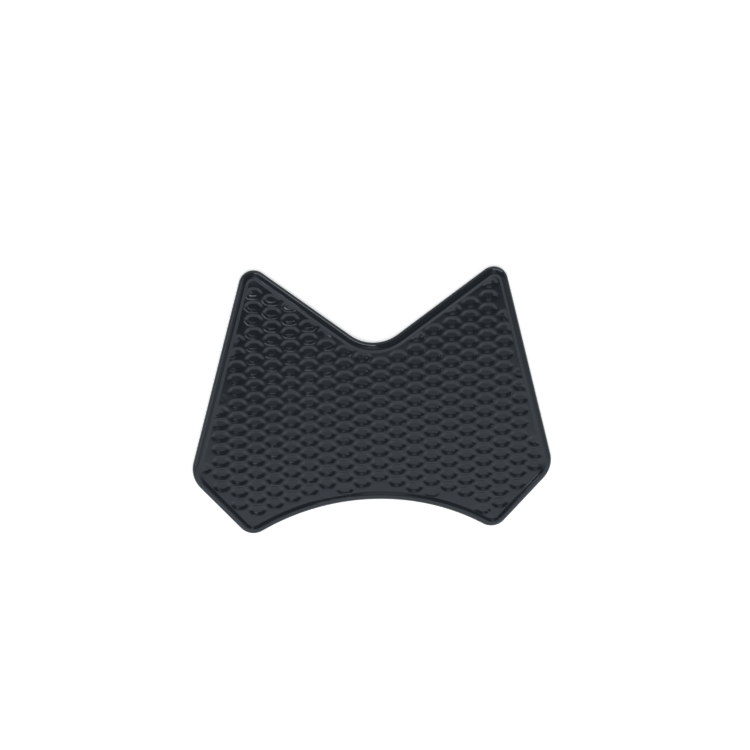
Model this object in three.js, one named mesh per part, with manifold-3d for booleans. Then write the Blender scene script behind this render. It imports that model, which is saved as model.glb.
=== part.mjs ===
// Moulded rubber tank pad: one solid piece with a raised rounded rim round a
// sunk field, and a honeycomb of shallow pockets in the field.
// Millimetres. X runs across the pad, Y points to the two ears, Z out of the
// patterned face. The adhesive face lies on Z = 0.
import * as THREE from "three";
import { mergeVertices } from "three/addons/utils/BufferGeometryUtils.js";
import Module from "manifold-3d";

// Plan outline: rounded corners joined by straight edges and one hollow arc.
const PAD_WIDTH = 160; // between the two side corners
const PAD_LENGTH = 120.4; // from the feet to the ear tips
const EAR_CENTRE_X = 51.5;
const EAR_RADIUS = 6.3;
const SIDE_RADIUS = 12.8;
const SIDE_CENTRE_Y = -29.3;
const FOOT_RADIUS = 7.6;
const FOOT_CENTRE_X = 53.7;
const NOTCH_RADIUS = 16.9; // bottom of the notch between the ears
const NOTCH_CENTRE_Y = 44.1;
const HOLLOW_RADIUS = 97.9; // hollow between the feet

// Edge section
const THICKNESS = 3.2;
const EDGE_LAND = 0.6; // upright foot of the edge before it rounds over
const ROUNDOVER = 2.5; // width of the rounded edge seen from above
const RIM_CREST = 0.25; // flat top of the rim
const STEP_RUN = 1.3; // slope from the rim's top down to the field
const FIELD_DROP = 0.5; // how far the field lies below the rim's top
const FIELD_MARGIN = 0.4; // plain strip between the foot of the slope and the pockets

// Honeycomb: six-sided cells in columns, every other column half a row up
const COLUMN_PITCH = 7.77;
const ROW_PITCH = 5.83;
const FIELD_X = 2.57; // centre of one pocket, measured from the middle
const FIELD_Y = 12.86;
const RIB = 1.1; // between two pockets of one column
const SIDE_RIB = 1.3; // between pockets of neighbouring columns
const SLANT_FACING = 46; // degrees off X that a slanted pocket side faces
const CORNER_CUT = 0.5; // taken off the two pointed ends of a pocket
const POCKET_DEPTH = 0.6;
const WALL_RUN = 0.85; // how far a pocket wall leans in on its way down
const SMALLEST_SHARE = 0.35; // cut pockets under this share of a full one stay filled
const CUT_ABOVE = 0.5; // how far the field's cutter stands out of the top
const POCKET_ABOVE = 0.3; // how far the pocket cutters stand out of the field

const ARC_STEPS = 6;
const EDGE_STEPS = 4;

const wasm = await Module();
wasm.setup();
const { Manifold, Mesh } = wasm;

// Closed solid from a three.js geometry.
function solid(geometry) {
  const plain = geometry.clone();
  plain.deleteAttribute("normal");
  plain.deleteAttribute("uv");
  const merged = mergeVertices(plain, 1e-4);
  return new Manifold(
    new Mesh({
      numProp: 3,
      vertProperties: merged.attributes.position.array,
      triVerts: new Uint32Array(merged.index.array),
    }),
  );
}

// Buffer geometry from a solid.
function geometryOf(body) {
  const mesh = body.getMesh();
  const corners = mesh.vertProperties;
  const count = mesh.numProp;
  const points = new Float32Array(mesh.numVert * 3);
  for (let i = 0; i < mesh.numVert; i++) {
    points.set(corners.subarray(i * count, i * count + 3), i * 3);
  }
  const geometry = new THREE.BufferGeometry();
  geometry.setAttribute("position", new THREE.BufferAttribute(points, 3));
  geometry.setIndex(new THREE.BufferAttribute(mesh.triVerts, 1));
  geometry.computeVertexNormals();
  return geometry;
}

// Angle of the line from a corner's centre to where the edge to the next
// corner leaves it. A hollow corner has a negative radius.
function edgeAngle(from, to) {
  const way = to.centre.clone().sub(from.centre);
  return way.angle() - Math.acos((from.radius - to.radius) / way.length());
}

// Outline of the pad, drawn inwards from its edge by the given distance.
function outline(inset) {
  const half = PAD_LENGTH / 2;
  const ear = new THREE.Vector2(EAR_CENTRE_X, half - EAR_RADIUS);
  const side = new THREE.Vector2(PAD_WIDTH / 2 - SIDE_RADIUS, SIDE_CENTRE_Y);
  const foot = new THREE.Vector2(FOOT_CENTRE_X, FOOT_RADIUS - half);
  const notch = new THREE.Vector2(0, NOTCH_CENTRE_Y);
  const reach = HOLLOW_RADIUS + FOOT_RADIUS;
  const drop = Math.sqrt(reach * reach - foot.x * foot.x);
  const hollow = new THREE.Vector2(0, foot.y - drop);
  const earCorner = { centre: ear, radius: EAR_RADIUS - inset };
  const sideCorner = { centre: side, radius: SIDE_RADIUS - inset };
  const footCorner = { centre: foot, radius: FOOT_RADIUS - inset };
  const notchCorner = { centre: notch, radius: -NOTCH_RADIUS - inset };
  // Right half, clockwise from the notch to the hollow.
  const toSide = mirror(edgeAngle(flip(earCorner), flip(sideCorner)));
  const toFoot = mirror(edgeAngle(flip(sideCorner), flip(footCorner)));
  const toEar = mirror(edgeAngle(flip(notchCorner), flip(earCorner)));
  const toHollow = foot.clone().sub(hollow).angle() + Math.PI;
  const crown = Math.PI / 2;
  const shape = new THREE.Shape();
  const bend = (x, y, radius, start, end, clockwise) =>
    shape.absarc(x, y, radius, start, end, clockwise);
  const hollowRadius = HOLLOW_RADIUS + inset;
  const notchRadius = NOTCH_RADIUS + inset;
  bend(0, notch.y, notchRadius, -crown, toEar - Math.PI, false);
  bend(ear.x, ear.y, earCorner.radius, toEar, toSide, true);
  bend(side.x, side.y, sideCorner.radius, toSide, toFoot, true);
  bend(foot.x, foot.y, footCorner.radius, toFoot, toHollow, true);
  bend(0, hollow.y, hollowRadius, toHollow - Math.PI, crown, false);
  bend(0, hollow.y, hollowRadius, crown, 2 * Math.PI - toHollow, false);
  bend(-foot.x, foot.y, footCorner.radius, Math.PI - toHollow, Math.PI - toFoot, true);
  bend(-side.x, side.y, sideCorner.radius, Math.PI - toFoot, Math.PI - toSide, true);
  bend(-ear.x, ear.y, earCorner.radius, Math.PI - toSide, Math.PI - toEar, true);
  bend(0, notch.y, notchRadius, 2 * Math.PI - toEar, 1.5 * Math.PI, false);
  return shape;
}

// The same corner seen in a mirror on the Y axis.
function flip(corner) {
  const centre = new THREE.Vector2(-corner.centre.x, corner.centre.y);
  return { centre, radius: corner.radius };
}

function mirror(angle) {
  return Math.PI - angle;
}

// Body before the field is sunk: upright foot, rounded edge and flat top.
function roundedBody() {
  const geometry = new THREE.ExtrudeGeometry(outline(0), {
    depth: EDGE_LAND,
    curveSegments: ARC_STEPS,
    bevelEnabled: true,
    bevelThickness: THICKNESS - EDGE_LAND,
    bevelSize: ROUNDOVER,
    bevelOffset: -ROUNDOVER,
    bevelSegments: EDGE_STEPS,
  });
  const below = new THREE.BoxGeometry(2 * PAD_WIDTH, 2 * PAD_LENGTH, THICKNESS);
  below.translate(0, 0, -THICKNESS / 2);
  return solid(geometry).subtract(solid(below));
}

// Room above the sunk field, wider at the top by the run of the slope.
function fieldRoom() {
  const rim = ROUNDOVER + RIM_CREST;
  const lean = STEP_RUN / FIELD_DROP;
  const over = CUT_ABOVE * lean;
  const geometry = new THREE.ExtrudeGeometry(outline(rim + STEP_RUN), {
    depth: CUT_ABOVE,
    curveSegments: ARC_STEPS,
    bevelEnabled: true,
    bevelThickness: FIELD_DROP + CUT_ABOVE,
    bevelSize: STEP_RUN + over,
    bevelSegments: 1,
  });
  geometry.translate(0, 0, THICKNESS + CUT_ABOVE);
  return solid(geometry);
}

// Plan of one pocket, drawn larger or smaller all round.
function pocketPlan(grow) {
  const facing = THREE.MathUtils.degToRad(SLANT_FACING);
  const slant = new THREE.Vector2(Math.cos(facing), Math.sin(facing));
  const apart = COLUMN_PITCH * slant.x + (ROW_PITCH / 2) * slant.y;
  const reach = (apart - SIDE_RIB) / 2;
  const long = reach / slant.x - CORNER_CUT + grow;
  const short = (ROW_PITCH - RIB) / 2 + grow;
  const end = (reach + grow - long * slant.x) / slant.y;
  const flat = (reach + grow - short * slant.y) / slant.x;
  return [
    [long, -end],
    [long, end],
    [flat, short],
    [-flat, short],
    [-long, end],
    [-long, -end],
    [-flat, -short],
    [flat, -short],
  ];
}

// Cutter for one pocket: its walls lean in towards the floor.
function pocketCutter() {
  const corners = [];
  const lean = WALL_RUN / POCKET_DEPTH;
  const field = THICKNESS - FIELD_DROP;
  for (const [x, y] of pocketPlan(POCKET_ABOVE * lean)) {
    corners.push([x, y, field + POCKET_ABOVE]);
  }
  for (const [x, y] of pocketPlan(-WALL_RUN)) {
    corners.push([x, y, field - POCKET_DEPTH]);
  }
  return Manifold.hull(corners);
}

// All pockets, cut off short of the rim's slope.
function pockets() {
  const one = pocketCutter();
  const edge = ROUNDOVER + RIM_CREST + STEP_RUN + FIELD_MARGIN;
  const region = new THREE.ExtrudeGeometry(outline(edge), {
    depth: 2 * THICKNESS,
    curveSegments: ARC_STEPS,
    bevelEnabled: false,
  });
  const inside = solid(region);
  const kept = [];
  const columns = Math.ceil(PAD_WIDTH / COLUMN_PITCH);
  const rows = Math.ceil(PAD_LENGTH / ROW_PITCH);
  for (let column = -columns; column <= columns; column++) {
    const stagger = column % 2 === 0 ? 0 : ROW_PITCH / 2;
    const x = FIELD_X + column * COLUMN_PITCH;
    for (let row = -rows; row <= rows; row++) {
      const y = FIELD_Y + stagger + row * ROW_PITCH;
      if (Math.abs(x) > PAD_WIDTH / 2 || Math.abs(y) > PAD_LENGTH / 2) continue;
      const cut = one.translate([x, y, 0]).intersect(inside);
      if (cut.volume() < SMALLEST_SHARE * one.volume()) continue;
      kept.push(cut);
    }
  }
  return Manifold.compose(kept);
}

const rubber = new THREE.MeshStandardMaterial({
  color: new THREE.Color(0.028, 0.031, 0.036),
  roughness: 0.38,
  metalness: 0,
});

const body = roundedBody().subtract(fieldRoom()).subtract(pockets());
const pad = new THREE.Mesh(geometryOf(body), rubber);
pad.name = "pad_body";

const group = new THREE.Group();
group.add(pad);
export default group;
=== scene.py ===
"""Motorcycle tank pad: one rubber moulding with a honeycomb of pockets, lying on a pale floor."""

import math

import bmesh
import bpy
import numpy as np
from mathutils import Matrix, Vector


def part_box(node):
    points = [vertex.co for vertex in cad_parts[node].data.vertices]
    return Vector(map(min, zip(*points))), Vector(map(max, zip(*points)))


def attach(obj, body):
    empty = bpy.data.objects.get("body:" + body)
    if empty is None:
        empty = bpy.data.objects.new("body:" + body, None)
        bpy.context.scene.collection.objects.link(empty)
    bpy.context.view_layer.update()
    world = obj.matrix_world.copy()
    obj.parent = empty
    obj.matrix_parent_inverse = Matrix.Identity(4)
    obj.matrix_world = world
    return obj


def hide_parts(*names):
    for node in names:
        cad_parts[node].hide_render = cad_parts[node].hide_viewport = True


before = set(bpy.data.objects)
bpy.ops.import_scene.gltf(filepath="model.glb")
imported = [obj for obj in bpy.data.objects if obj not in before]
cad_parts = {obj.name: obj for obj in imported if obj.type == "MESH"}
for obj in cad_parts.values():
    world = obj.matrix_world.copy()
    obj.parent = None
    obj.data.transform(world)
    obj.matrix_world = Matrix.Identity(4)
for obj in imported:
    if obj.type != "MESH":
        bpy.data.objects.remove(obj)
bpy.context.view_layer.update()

MM = 0.001

# Size of the moulding, from the frame
pad_low, pad_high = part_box("pad_body")
PAD_WIDTH = pad_high[0] - pad_low[0]
PAD_LENGTH = pad_high[1] - pad_low[1]
TOP = pad_high[2]

# Plan outline: corner roundings joined by straight edges and one hollow arc
EAR_X = 51.5 * MM
EAR_RADIUS = 6.3 * MM
SIDE_RADIUS = 12.8 * MM
SIDE_Y = -29.3 * MM
FOOT_RADIUS = 7.6 * MM
FOOT_X = 53.7 * MM
NOTCH_RADIUS = 16.9 * MM
NOTCH_Y = 44.1 * MM
HOLLOW_RADIUS = 97.9 * MM

# Rim section, from the outline inwards
EDGE_LAND = 0.6 * MM
FOOT_EASING = 0.15 * MM
FOOT_CHAMFER = 0.3 * FOOT_EASING
ROUNDOVER = 2.5 * MM
ROUNDOVER_STEPS = 10
RIM_CREST = 0.25 * MM
STEP_RUN = 1.3 * MM
STEP_STEPS = 6
FIELD_DROP = 0.5 * MM
FIELD_MARGIN = 0.2 * MM
FIELD = TOP - FIELD_DROP

# Honeycomb
COLUMN_PITCH = 7.77 * MM
ROW_PITCH = 5.83 * MM
FIELD_X = 2.57 * MM
FIELD_Y = 12.86 * MM
RIB = 1.1 * MM
SIDE_RIB = 1.3 * MM
SLANT_FACING = math.radians(46)
POINT_CUT = 0.3 * MM
POCKET_DEPTH = 0.6 * MM
# How far inside the field a pocket's centre lies when its depth begins and when it is full.
# Beside an edge that faces the feet the distance is larger.
SHALLOW_FROM = -0.5 * MM
SHALLOW_TO = 1.3 * MM
SHALLOW_BELOW = 2.2 * MM
BORDER_FADE = 0.7 * MM
# Bowl profile from the rib in: share of the depth, and how far in it is reached.
# The first step starts outside the pocket's edge, so the rib's top is rounded.
BOWL = ((0.02, -0.16 * MM), (0.045, -0.02 * MM), (1.0, 0.7 * MM), (1.0, 1.0 * MM))

# Spacing of the points round the rim, and round the fine line that distances are taken from
CORNER_STEP = math.radians(5)
EDGE_STEP = 1.5 * MM
FINE_CORNER_STEP = math.radians(1.5)
FINE_STEP = 0.25 * MM
SAME_POINT = 0.01 * MM
NUDGE = 0.001 * MM
BATCH = 2000

# Distances at which points become one, and the angle from which an edge is shaded sharp
JOIN_CELLS = 0.02 * MM
JOIN_SHELL = 0.004 * MM
SHARP_FROM = math.radians(55)

# Rubber's colour and finish
RUBBER_DARK = (0.0074, 0.0092, 0.0122)
RUBBER_PALE = (0.0117, 0.0145, 0.0190)
RUBBER_GLOSSY = 0.035
RUBBER_DULL = 0.065
RUBBER_SHINE = 0.38
RUBBER_TINT = (0.83, 0.9, 1.0)
MOTTLE_SCALE = 160
GRAIN_SCALE = 2600
NOISE_DETAIL = 4
GRAIN_STRENGTH = 0.05
GRAIN_HEIGHT = 0.005 * MM

# Floor
FLOOR_REACH = 3.0
FLOOR_DROP = 0.02 * MM
FLOOR_PALE = (0.88, 0.88, 0.88)
FLOOR_ROUGHNESS = 0.9
FLOOR_SHINE = 0.1
FLOOR_GLOW = 0.45

# Bright side of the room. It begins at a lean towards the feet, earlier and softer to the sides.
WALL_START = 0.28
WALL_SKEW = 0.65
WALL_BLEND = 0.114
WALL_SPREAD = 0.705
WALL_LIGHT = 1.24
# Leans over which it dims towards the floor and to the sides, and what is left there
WALL_LOW = (0.8, 0.97)
WALL_LOW_SHARE = 0.6
WALL_SIDES = (0.55, 0.95)
WALL_SIDES_SHARE = 0.5

# Bright strip that runs from overhead to the far side
STRIP_X = 0.13
STRIP_LIGHT = 0.75
STRIP_EDGE = (0.06, 0.14)
STRIP_END = (-0.15, 0.05)

# Plain light of the room, less of it overhead
ROOM_LIGHT = 0.31
OVERHEAD_SHARE = 0.3
OVERHEAD_NEAR = (0.22, 0.3)
OVERHEAD_FAR = (0.1, 0.3)
OVERHEAD_ASIDE = (0.25, 0.4)
ROOM_TINT = (0.94, 0.98, 1.0)

# Lamps: bearing from +Y and rise in degrees, distance, width and height in metres, brightness
LAMPS = {
    "ceiling_lamp": (194.4, 82.4, 0.605, 0.07, 0.021, 22),
    "far_strip": (28, 9, 0.8, 0.75, 0.22, 4.5),
    "left_strip": (-80, 18, 0.8, 0.6, 0.35, 1.2),
}

# Camera, read from the photograph
LENS = 69.6
CAMERA_DISTANCE = 633.3 * MM
CAMERA_AIM = (0.5 * MM, 12.4 * MM)
CAMERA_TILT = math.radians(17.45)
CAMERA_YAW = math.radians(5.16)
CAMERA_ROLL = math.radians(0.22)
CAMERA_SENSOR = 36
CAMERA_NEAREST = 0.01


# Rim outline

def corner(x, y, radius):
    """A rounding of the outline. A hollow one has a negative radius."""
    return (np.array([x, y]), radius)


def leaving_angle(start, end):
    """Direction from a corner's centre to where its edge to the next corner leaves it."""
    way = end[0] - start[0]
    turn = math.acos((start[1] - end[1]) / np.linalg.norm(way))
    return math.atan2(way[1], way[0]) + turn


def half_outline():
    """Arcs of the right half as (centre, radius, first angle, last angle), from notch to hollow."""
    half = PAD_LENGTH / 2
    ear = corner(EAR_X, half - EAR_RADIUS, EAR_RADIUS)
    side = corner(PAD_WIDTH / 2 - SIDE_RADIUS, SIDE_Y, SIDE_RADIUS)
    foot = corner(FOOT_X, FOOT_RADIUS - half, FOOT_RADIUS)
    notch = corner(0, NOTCH_Y, -NOTCH_RADIUS)
    drop = math.sqrt((HOLLOW_RADIUS + FOOT_RADIUS) ** 2 - FOOT_X**2)
    hollow = corner(0, foot[0][1] - drop, -HOLLOW_RADIUS)
    to_ear = leaving_angle(notch, ear)
    to_side = leaving_angle(ear, side)
    to_foot = leaving_angle(side, foot)
    to_hollow = math.atan2(drop, FOOT_X) - math.pi
    up = math.pi / 2
    return [
        (*notch, up, to_ear),
        (*ear, to_ear, to_side),
        (*side, to_side, to_foot),
        (*foot, to_foot, to_hollow),
        (*hollow, to_hollow, -up),
    ]


def stations(corner_step, edge_step):
    """Points of the outline and their outward directions, clockwise from the notch's bottom."""
    spots = []
    faces = []
    for centre, radius, first, last in half_outline():
        sweep = abs(last - first)
        steps = max(math.ceil(sweep / corner_step), math.ceil(sweep * abs(radius) / edge_step))
        for angle in np.linspace(first, last, steps + 1):
            out = np.array([math.cos(angle), math.sin(angle)])
            spot = centre + radius * out
            gap = np.linalg.norm(spot - spots[-1]) if spots else 0
            # A straight edge gets points of its own.
            if gap > 1.01 * edge_step:
                fill = math.ceil(gap / edge_step)
                start = spots[-1]
                for share in np.arange(1, fill) / fill:
                    spots.append(start + (spot - start) * share)
                    faces.append(out)
            if not spots or np.linalg.norm(spot - spots[-1]) > SAME_POINT:
                spots.append(spot)
                faces.append(out)
    right = np.array(spots)
    out = np.array(faces)
    mirror = np.array([-1.0, 1.0])
    left = right[-2:0:-1] * mirror
    left_out = out[-2:0:-1] * mirror
    return np.vstack([right, left]), np.vstack([out, left_out])


def signed_inset(points, line, out):
    """How far each point lies inside a closed line, and the place on the line nearest to it."""
    inset = np.full(len(points), -1.0)
    place = np.zeros(len(points))
    following = np.roll(line, -1, axis=0)
    run = following - line
    length = (run**2).sum(axis=1)
    for low in range(0, len(points), BATCH):
        part = points[low : low + BATCH]
        away = part[:, None, :] - line[None]
        share = np.clip((away * run).sum(axis=2) / length, 0, 1)
        gap = away - share[..., None] * run
        distance = np.sqrt((gap**2).sum(axis=2))
        near = distance.argmin(axis=1)
        row = np.arange(len(part))
        side = (gap[row, near] * out[near]).sum(axis=1)
        inset[low : low + BATCH] = np.where(side > 0, -1, 1) * distance[row, near]
        place[low : low + BATCH] = near + share[row, near]
    return inset, place


# Honeycomb sheet

def cell_ring(shrink, depth):
    """Twelve points round a pocket, shrunk in from its rim."""
    slant = np.array([math.cos(SLANT_FACING), math.sin(SLANT_FACING)])
    apart = COLUMN_PITCH * slant[0] + ROW_PITCH / 2 * slant[1]
    reach = (apart - SIDE_RIB) / 2 - shrink
    short = (ROW_PITCH - RIB) / 2 - shrink
    flat = (reach - short * slant[1]) / slant[0]
    tip = reach / slant[0]
    quarter = [(tip - POINT_CUT, 0), ((tip + flat) / 2, short / 2), (flat, short), (0, short)]
    upper = quarter + [(-x, y) for x, y in quarter[-2::-1]]
    lower = [(x, -y) for x, y in upper[-2:0:-1]]
    return [(x, y, -depth) for x, y in upper + lower]


def cell_border():
    """The cell's own six-sided border, with a point in the middle of each side."""
    tip = COLUMN_PITCH * 2 / 3
    flat = COLUMN_PITCH / 3
    short = ROW_PITCH / 2
    quarter = [(tip, 0), ((tip + flat) / 2, short / 2), (flat, short), (0, short)]
    upper = quarter + [(-x, y) for x, y in quarter[-2::-1]]
    lower = [(x, -y) for x, y in upper[-2:0:-1]]
    return [(x, y, 0) for x, y in upper + lower]


def pocket_cell():
    """One pocket with half a rib all round, on the plane of the field."""
    rings = [cell_border()]
    for share, shrink in BOWL:
        rings.append(cell_ring(shrink, share * POCKET_DEPTH))
    points = [point for ring in rings for point in ring]
    points.append((0, 0, -POCKET_DEPTH))
    faces = []
    for ring in range(len(rings) - 1):
        for i in range(12):
            j = (i + 1) % 12
            faces.append((12 * ring + i, 12 * ring + j, 12 * ring + 12 + j, 12 * ring + 12 + i))
    last = 12 * (len(rings) - 1)
    for i in range(12):
        faces.append((last + i, last + (i + 1) % 12, len(points) - 1))
    mesh = bpy.data.meshes.new("pocket_cell")
    mesh.from_pydata(points, [], faces)
    return bpy.data.objects.new("pocket_cell", mesh)


def honeycomb_tree():
    """Sets one cell on each point of a grid whose odd columns are half a row up."""
    tree = bpy.data.node_groups.new("honeycomb", "GeometryNodeTree")
    inputs = {}
    for name, kind in (
        ("Cell", "NodeSocketObject"),
        ("Column pitch", "NodeSocketFloat"),
        ("Row pitch", "NodeSocketFloat"),
        ("Columns", "NodeSocketInt"),
        ("Rows", "NodeSocketInt"),
        ("Middle", "NodeSocketVector"),
        ("Material", "NodeSocketMaterial"),
    ):
        inputs[name] = tree.interface.new_socket(name, in_out="INPUT", socket_type=kind).identifier
    tree.interface.new_socket("Sheet", in_out="OUTPUT", socket_type="NodeSocketGeometry")
    given = tree.nodes.new("NodeGroupInput")
    result = tree.nodes.new("NodeGroupOutput")

    def node(kind, **values):
        made = tree.nodes.new(kind)
        for key, value in values.items():
            setattr(made, key, value)
        return made

    def maths(operation, first, second):
        made = node("ShaderNodeMath", operation=operation)
        for socket, value in zip(made.inputs, (first, second)):
            if isinstance(value, (int, float)):
                socket.default_value = value
            else:
                tree.links.new(value, socket)
        return made.outputs[0]

    grid = node("GeometryNodeMeshGrid")
    across = maths("SUBTRACT", given.outputs["Columns"], 1)
    along = maths("SUBTRACT", given.outputs["Rows"], 1)
    width = maths("MULTIPLY", given.outputs["Column pitch"], across)
    height = maths("MULTIPLY", given.outputs["Row pitch"], along)
    tree.links.new(width, grid.inputs["Size X"])
    tree.links.new(height, grid.inputs["Size Y"])
    tree.links.new(given.outputs["Columns"], grid.inputs["Vertices X"])
    tree.links.new(given.outputs["Rows"], grid.inputs["Vertices Y"])

    index = node("GeometryNodeInputIndex")
    column = maths("FLOOR", maths("DIVIDE", index.outputs[0], given.outputs["Rows"]), 0)
    odd = maths("MODULO", column, 2)
    lift = maths("MULTIPLY", odd, maths("MULTIPLY", given.outputs["Row pitch"], 0.5))
    stagger = node("ShaderNodeCombineXYZ")
    tree.links.new(lift, stagger.inputs["Y"])
    shift = node("ShaderNodeVectorMath", operation="ADD")
    tree.links.new(stagger.outputs[0], shift.inputs[0])
    tree.links.new(given.outputs["Middle"], shift.inputs[1])
    moved = node("GeometryNodeSetPosition")
    tree.links.new(grid.outputs["Mesh"], moved.inputs["Geometry"])
    tree.links.new(shift.outputs[0], moved.inputs["Offset"])

    marked = node("GeometryNodeStoreNamedAttribute", data_type="FLOAT_VECTOR")
    marked.inputs["Name"].default_value = "centre"
    tree.links.new(moved.outputs["Geometry"], marked.inputs["Geometry"])
    tree.links.new(node("GeometryNodeInputPosition").outputs[0], marked.inputs["Value"])

    cell = node("GeometryNodeObjectInfo")
    tree.links.new(given.outputs["Cell"], cell.inputs["Object"])
    placed = node("GeometryNodeInstanceOnPoints")
    tree.links.new(marked.outputs["Geometry"], placed.inputs["Points"])
    tree.links.new(cell.outputs["Geometry"], placed.inputs["Instance"])
    real = node("GeometryNodeRealizeInstances")
    tree.links.new(placed.outputs["Instances"], real.inputs["Geometry"])
    joined = node("GeometryNodeMergeByDistance")
    joined.inputs["Distance"].default_value = JOIN_CELLS
    tree.links.new(real.outputs["Geometry"], joined.inputs["Geometry"])
    smooth = node("GeometryNodeSubdivisionSurface")
    smooth.inputs["Level"].default_value = 1
    tree.links.new(joined.outputs["Geometry"], smooth.inputs["Mesh"])
    dressed = node("GeometryNodeSetMaterial")
    tree.links.new(smooth.outputs["Mesh"], dressed.inputs["Geometry"])
    tree.links.new(given.outputs["Material"], dressed.inputs["Material"])
    tree.links.new(dressed.outputs["Geometry"], result.inputs["Sheet"])
    return tree, inputs


def honeycomb_sheet(material):
    """Sheet of cells wider than the pad: points, the cell centre of each point, and faces."""
    cell = pocket_cell()
    bpy.context.scene.collection.objects.link(cell)
    columns = 2 * math.ceil(PAD_WIDTH / 2 / COLUMN_PITCH) + 3
    rows = 2 * math.ceil(PAD_LENGTH / 2 / ROW_PITCH) + 5
    # The grid's middle column holds the pocket that the field is measured from, and the grid's
    # middle lies two rows below it, near the pad's own.
    raised = (columns // 2) % 2
    middle = (FIELD_X, FIELD_Y - raised * ROW_PITCH / 2 - 2 * ROW_PITCH, 0)
    carrier = bpy.data.objects.new("honeycomb", bpy.data.meshes.new("honeycomb"))
    bpy.context.scene.collection.objects.link(carrier)
    modifier = carrier.modifiers.new("honeycomb", "NODES")
    tree, inputs = honeycomb_tree()
    modifier.node_group = tree
    modifier[inputs["Cell"]] = cell
    modifier[inputs["Column pitch"]] = COLUMN_PITCH
    modifier[inputs["Row pitch"]] = ROW_PITCH
    modifier[inputs["Columns"]] = columns
    modifier[inputs["Rows"]] = rows
    modifier[inputs["Middle"]] = middle
    modifier[inputs["Material"]] = material
    evaluated = carrier.evaluated_get(bpy.context.evaluated_depsgraph_get())
    mesh = bpy.data.meshes.new_from_object(evaluated)
    points = np.empty(len(mesh.vertices) * 3)
    mesh.vertices.foreach_get("co", points)
    centres = np.empty(len(mesh.vertices) * 3)
    mesh.attributes["centre"].data.foreach_get("vector", centres)
    faces = [tuple(face.vertices) for face in mesh.polygons]
    carrier.modifiers.remove(modifier)
    for spare in (carrier, cell):
        bpy.data.objects.remove(spare)
    bpy.data.meshes.remove(mesh)
    return points.reshape(-1, 3), centres.reshape(-1, 3), faces


def trim_sheet(points, faces, line, out, margin):
    """Cuts the sheet along the line drawn in by margin, and gives the cut's points in order."""
    inset, _ = signed_inset(points[:, :2], line, out)
    room = inset - margin
    corners = [tuple(point) for point in points]
    crossing = {}

    def cut(a, b):
        key = (min(a, b), max(a, b))
        if key not in crossing:
            share = room[key[0]] / (room[key[0]] - room[key[1]])
            crossing[key] = len(corners)
            corners.append(tuple(points[key[0]] + share * (points[key[1]] - points[key[0]])))
        return crossing[key]

    kept = []
    rim = {}
    for face in faces:
        inside = [room[i] > 0 for i in face]
        if all(inside):
            kept.append(face)
            continue
        if not any(inside):
            continue
        loop = []
        entry = leave = None
        for k, a in enumerate(face):
            b = face[(k + 1) % len(face)]
            if room[a] > 0:
                loop.append(a)
            if (room[a] > 0) != (room[b] > 0):
                mark = cut(a, b)
                loop.append(mark)
                if room[a] > 0:
                    leave = mark
                else:
                    entry = mark
        kept.append(tuple(loop))
        rim[leave] = entry
    start = min(rim)
    order = [start]
    while rim[order[-1]] != start:
        order.append(rim[order[-1]])
    return np.array(corners), kept, order


# Whole pad

class Shell:
    """Points and faces of the moulding, gathered loop by loop."""

    def __init__(self):
        self.points = []
        self.faces = []

    def add(self, points):
        first = len(self.points)
        self.points.extend(tuple(point) for point in points)
        return list(range(first, first + len(points)))

    def band(self, upper, lower):
        """Quads between two loops of equal length."""
        for i in range(len(upper)):
            j = (i + 1) % len(upper)
            self.faces.append((upper[i], upper[j], lower[j], lower[i]))

    def zip(self, upper, upper_place, lower, lower_place, total):
        """Triangles between two loops of unlike length, matched by their places round the rim."""
        i = j = 0
        ends = (len(upper), len(lower))
        while i < ends[0] or j < ends[1]:
            a = upper[i % ends[0]]
            b = lower[j % ends[1]]
            next_a = upper_place[(i + 1) % ends[0]] + (total if i + 1 >= ends[0] else 0)
            next_b = lower_place[(j + 1) % ends[1]] + (total if j + 1 >= ends[1] else 0)
            if j >= ends[1] or (i < ends[0] and next_a <= next_b):
                self.faces.append((a, upper[(i + 1) % ends[0]], b))
                i += 1
            else:
                self.faces.append((a, lower[(j + 1) % ends[1]], b))
                j += 1


def lifted(plan, height):
    """Plan points at one height."""
    return np.column_stack([plan, np.full(len(plan), height)])


def ease(value, low, high):
    """Soft step from 0 to 1 between two values."""
    share = np.clip((value - low) / (high - low), 0, 1)
    return share * share * (3 - 2 * share)


def rim_section():
    """Rim profile as (inset, height), from the foot of the inner slope out and down to the back."""
    section = []
    for step in range(STEP_STEPS):
        share = step / STEP_STEPS
        rise = FIELD_DROP * (1 - math.cos(math.pi * share)) / 2
        section.append((ROUNDOVER + RIM_CREST + STEP_RUN * (1 - share), FIELD + rise))
    section.append((ROUNDOVER + RIM_CREST, TOP))
    for step in range(ROUNDOVER_STEPS + 1):
        angle = math.pi / 2 * step / ROUNDOVER_STEPS
        drop = (TOP - EDGE_LAND) * (1 - math.cos(angle))
        section.append((ROUNDOVER * (1 - math.sin(angle)), TOP - drop))
    section.append((0, FOOT_EASING))
    section.append((FOOT_CHAMFER, FOOT_CHAMFER))
    section.append((FOOT_EASING, 0))
    return section


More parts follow.
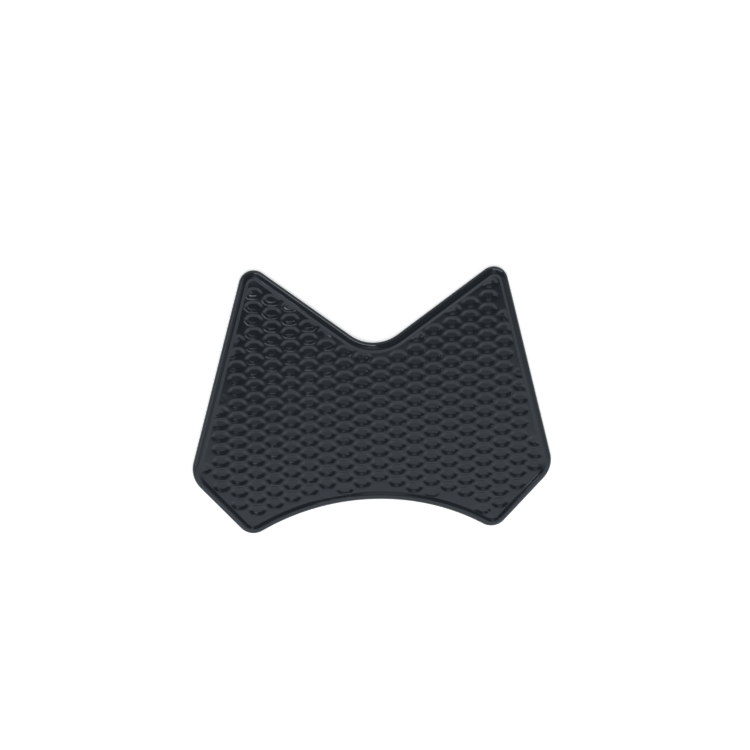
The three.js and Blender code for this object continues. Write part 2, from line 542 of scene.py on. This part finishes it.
def field_shell(material, line, out):
    """The honeycomb cut to the field, with its border and the border's places on the line."""
    sheet, centres, faces = honeycomb_sheet(material)
    margin = ROUNDOVER + RIM_CREST + STEP_RUN + FIELD_MARGIN
    middles, of_point = np.unique(np.round(centres[:, :2], 6), axis=0, return_inverse=True)
    inset, place = signed_inset(middles, line, out)
    below = np.maximum(-out[place.astype(int) % len(out), 1], 0) * SHALLOW_BELOW
    sheet[:, 2] *= ease(inset - margin - below, SHALLOW_FROM, SHALLOW_TO)[of_point.ravel()]
    sheet, faces, cut = trim_sheet(sheet, faces, line, out, margin)
    used = sorted({i for face in faces for i in face})
    fresh = {old: new for new, old in enumerate(used)}
    points = sheet[used]
    inset, _ = signed_inset(points[:, :2], line, out)
    points[:, 2] *= ease(inset - margin, 0, BORDER_FADE)
    shell = Shell()
    shell.add(points + [0, 0, FIELD])
    shell.faces = [tuple(fresh[i] for i in face) for face in faces]

    border = np.array([fresh[i] for i in cut])
    _, place = signed_inset(points[border, :2], line, out)
    turn = int(place.argmin())
    if np.median(np.diff(np.roll(place, -turn))) < 0:
        border = border[::-1]
        place = place[::-1]
        turn = int(place.argmin())
    return shell, np.roll(border, -turn), np.roll(place, -turn)


def pad_shell(material):
    """The moulding as one closed shell."""
    fine, fine_out = stations(FINE_CORNER_STEP, FINE_STEP)
    shell, border, border_place = field_shell(material, fine, fine_out)
    plan, out = stations(CORNER_STEP, EDGE_STEP)
    _, place = signed_inset(plan - NUDGE * out, fine, fine_out)
    place[0] = 0
    order = np.argsort(place)
    plan = plan[order]
    out = out[order]
    place = place[order]
    previous = None
    for inset, height in rim_section():
        following = shell.add(lifted(plan - out * inset, height))
        if previous is None:
            shell.zip(following, place, border, border_place, len(fine))
        else:
            shell.band(following, previous)
        previous = following
    shell.faces.append(tuple(previous[::-1]))
    return shell


def build_pad(material):
    """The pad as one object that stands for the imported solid."""
    shell = pad_shell(material)
    mesh = bpy.data.meshes.new("honeycomb_pad")
    mesh.from_pydata(shell.points, [], shell.faces)
    mesh.validate()
    work = bmesh.new()
    work.from_mesh(mesh)
    bmesh.ops.remove_doubles(work, verts=work.verts, dist=JOIN_SHELL)
    bmesh.ops.recalc_face_normals(work, faces=work.faces)
    work.to_mesh(mesh)
    work.free()
    mesh.materials.append(material)
    mesh.shade_smooth()
    mesh.set_sharp_from_angle(angle=SHARP_FROM)
    pad = bpy.data.objects.new("honeycomb_pad", mesh)
    bpy.context.scene.collection.objects.link(pad)
    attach(pad, "root")
    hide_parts("pad_body")


# Materials

def new_material(name):
    """A material with its nodes, links and surface shader."""
    material = bpy.data.materials.new(name)
    material.use_nodes = True
    nodes = material.node_tree.nodes
    links = material.node_tree.links
    return material, nodes, links, nodes["Principled BSDF"]


def moulded_rubber():
    """Charcoal rubber with a satin gloss, faintly uneven, with a fine moulded grain."""
    material, nodes, links, surface = new_material("moulded_rubber")
    place = nodes.new("ShaderNodeTexCoord")
    mottle = nodes.new("ShaderNodeTexNoise")
    mottle.inputs["Scale"].default_value = MOTTLE_SCALE
    mottle.inputs["Detail"].default_value = NOISE_DETAIL
    links.new(place.outputs["Object"], mottle.inputs["Vector"])

    tone = nodes.new("ShaderNodeMix")
    tone.data_type = "RGBA"
    tone.inputs["A"].default_value = (*RUBBER_DARK, 1)
    tone.inputs["B"].default_value = (*RUBBER_PALE, 1)
    links.new(mottle.outputs["Fac"], tone.inputs["Factor"])
    links.new(tone.outputs["Result"], surface.inputs["Base Color"])

    gloss = nodes.new("ShaderNodeMapRange")
    gloss.inputs["To Min"].default_value = RUBBER_GLOSSY
    gloss.inputs["To Max"].default_value = RUBBER_DULL
    links.new(mottle.outputs["Fac"], gloss.inputs["Value"])
    links.new(gloss.outputs["Result"], surface.inputs["Roughness"])

    grain = nodes.new("ShaderNodeTexNoise")
    grain.inputs["Scale"].default_value = GRAIN_SCALE
    grain.inputs["Detail"].default_value = NOISE_DETAIL
    links.new(place.outputs["Object"], grain.inputs["Vector"])
    bump = nodes.new("ShaderNodeBump")
    bump.inputs["Strength"].default_value = GRAIN_STRENGTH
    bump.inputs["Distance"].default_value = GRAIN_HEIGHT
    links.new(grain.outputs["Fac"], bump.inputs["Height"])
    links.new(bump.outputs["Normal"], surface.inputs["Normal"])
    surface.inputs["Specular IOR Level"].default_value = RUBBER_SHINE
    surface.inputs["Specular Tint"].default_value = (*RUBBER_TINT, 1)
    return material


def white_floor():
    """Pale floor that shows white to the camera and keeps the pad's shadow."""
    material, nodes, links, surface = new_material("white_floor")
    surface.inputs["Base Color"].default_value = (*FLOOR_PALE, 1)
    surface.inputs["Roughness"].default_value = FLOOR_ROUGHNESS
    surface.inputs["Specular IOR Level"].default_value = FLOOR_SHINE
    surface.inputs["Emission Color"].default_value = (1, 1, 1, 1)
    path = nodes.new("ShaderNodeLightPath")
    glow = nodes.new("ShaderNodeMath")
    glow.operation = "MULTIPLY"
    glow.inputs[1].default_value = FLOOR_GLOW
    links.new(path.outputs["Is Camera Ray"], glow.inputs[0])
    links.new(glow.outputs[0], surface.inputs["Emission Strength"])
    return material


# Stage, light and camera

def build_floor():
    """Flat floor just under the pad."""
    mesh = bpy.data.meshes.new("floor")
    signs = ((-1, -1), (1, -1), (1, 1), (-1, 1))
    corners = [(x * FLOOR_REACH, y * FLOOR_REACH, 0) for x, y in signs]
    mesh.from_pydata(corners, [], [(0, 1, 2, 3)])
    mesh.materials.append(white_floor())
    floor = bpy.data.objects.new("floor", mesh)
    floor.location.z = -FLOOR_DROP
    bpy.context.scene.collection.objects.link(floor)


def build_world():
    """Room with a broad bright side towards the feet, dark overhead and towards the ears."""
    world = bpy.data.worlds.new("room")
    bpy.context.scene.world = world
    world.use_nodes = True
    nodes = world.node_tree.nodes
    links = world.node_tree.links
    place = nodes.new("ShaderNodeTexCoord")

    def towards(axis):
        """How far a direction leans towards the axis."""
        product = nodes.new("ShaderNodeVectorMath")
        product.operation = "DOT_PRODUCT"
        product.inputs[1].default_value = axis
        links.new(place.outputs["Generated"], product.inputs[0])
        return product.outputs["Value"]

    def ramp(value, low, high, dark, bright):
        """Soft step from one brightness to another."""
        step = nodes.new("ShaderNodeMapRange")
        step.interpolation_type = "SMOOTHSTEP"
        step.inputs["From Min"].default_value = low
        step.inputs["From Max"].default_value = high
        step.inputs["To Min"].default_value = dark
        step.inputs["To Max"].default_value = bright
        links.new(value, step.inputs["Value"])
        return step.outputs["Result"]

    def maths(operation, first, second):
        made = nodes.new("ShaderNodeMath")
        made.operation = operation
        for socket, value in zip(made.inputs, (first, second)):
            if isinstance(value, (int, float)):
                socket.default_value = value
            else:
                links.new(value, socket)
        return made.outputs[0]

    right = towards((1, 0, 0))
    ears = towards((0, 1, 0))
    feet = towards((0, -1, 0))
    aslant = maths("ABSOLUTE", right, 0)

    # Bright side
    blend = maths("ADD", maths("MULTIPLY", aslant, WALL_SPREAD), WALL_BLEND)
    start = maths("SUBTRACT", WALL_START, maths("MULTIPLY", aslant, WALL_SKEW))
    lean = maths("DIVIDE", maths("SUBTRACT", feet, start), blend)
    wall = ramp(lean, 0, 1, 0, WALL_LIGHT)
    wall = maths("MULTIPLY", wall, ramp(feet, *WALL_LOW, 1, WALL_LOW_SHARE))
    wall = maths("MULTIPLY", wall, ramp(aslant, *WALL_SIDES, 1, WALL_SIDES_SHARE))

    # Strip
    off_strip = maths("ABSOLUTE", maths("SUBTRACT", right, STRIP_X), 0)
    strip_width = ramp(off_strip, *STRIP_EDGE, 1, 0)
    strip_reach = ramp(ears, *STRIP_END, 0, STRIP_LIGHT)
    strip = maths("MULTIPLY", strip_width, strip_reach)

    # Plain light
    near = ramp(feet, *OVERHEAD_NEAR, OVERHEAD_SHARE, 1)
    far = ramp(ears, *OVERHEAD_FAR, OVERHEAD_SHARE, 1)
    aside = ramp(aslant, *OVERHEAD_ASIDE, OVERHEAD_SHARE, 1)
    share = maths("MAXIMUM", near, maths("MAXIMUM", far, aside))
    plain = maths("MULTIPLY", share, ROOM_LIGHT)
    room = maths("ADD", maths("ADD", wall, strip), plain)

    # White to the camera
    path = nodes.new("ShaderNodeLightPath")
    shown = nodes.new("ShaderNodeMix")
    links.new(path.outputs["Is Camera Ray"], shown.inputs["Factor"])
    links.new(room, shown.inputs["A"])
    shown.inputs["B"].default_value = 1
    back = nodes["Background"]
    back.inputs["Color"].default_value = (*ROOM_TINT, 1)
    links.new(shown.outputs["Result"], back.inputs["Strength"])


def softbox(name, bearing, rise, distance, across, tall, brightness):
    """Area lamp at a compass bearing from +Y and a rise above the floor, facing the pad."""
    lamp = bpy.data.lights.new(name, "AREA")
    lamp.shape = "RECTANGLE"
    lamp.size = across
    lamp.size_y = tall
    lamp.energy = brightness * math.pi * across * tall
    turn = math.radians(bearing)
    climb = math.radians(rise)
    level = math.cos(climb)
    way = Vector((level * math.sin(turn), level * math.cos(turn), math.sin(climb)))
    pose = way.to_track_quat("Z", "Y").to_matrix().to_4x4()
    pose.translation = distance * way
    box = bpy.data.objects.new(name, lamp)
    box.matrix_world = pose
    bpy.context.scene.collection.objects.link(box)


def build_lights():
    """A small lamp overhead and two long low ones."""
    for name, values in LAMPS.items():
        softbox(name, *values)


def build_camera():
    """Camera at the photograph's angle: off the pad's normal towards the ears and to the left."""
    back = Vector((
        -math.sin(CAMERA_YAW) * math.cos(CAMERA_TILT),
        math.sin(CAMERA_TILT),
        math.cos(CAMERA_YAW) * math.cos(CAMERA_TILT),
    ))
    right = Vector((0, 1, 0)).cross(back).normalized()
    up = back.cross(right)
    turn = Matrix.Rotation(CAMERA_ROLL, 3, back)
    right = turn @ right
    up = turn @ up
    aim = Vector((*CAMERA_AIM, 0))
    camera = bpy.data.cameras.new("camera")
    camera.lens = LENS
    camera.sensor_width = CAMERA_SENSOR
    camera.clip_start = CAMERA_NEAREST
    eye = bpy.data.objects.new("camera", camera)
    pose = Matrix((right, up, back)).transposed().to_4x4()
    pose.translation = aim + back * CAMERA_DISTANCE
    eye.matrix_world = pose
    bpy.context.scene.collection.objects.link(eye)
    bpy.context.scene.camera = eye


build_camera()
build_pad(moulded_rubber())
build_floor()
build_world()
build_lights()
bpy.context.scene.view_settings.view_transform = "Standard"
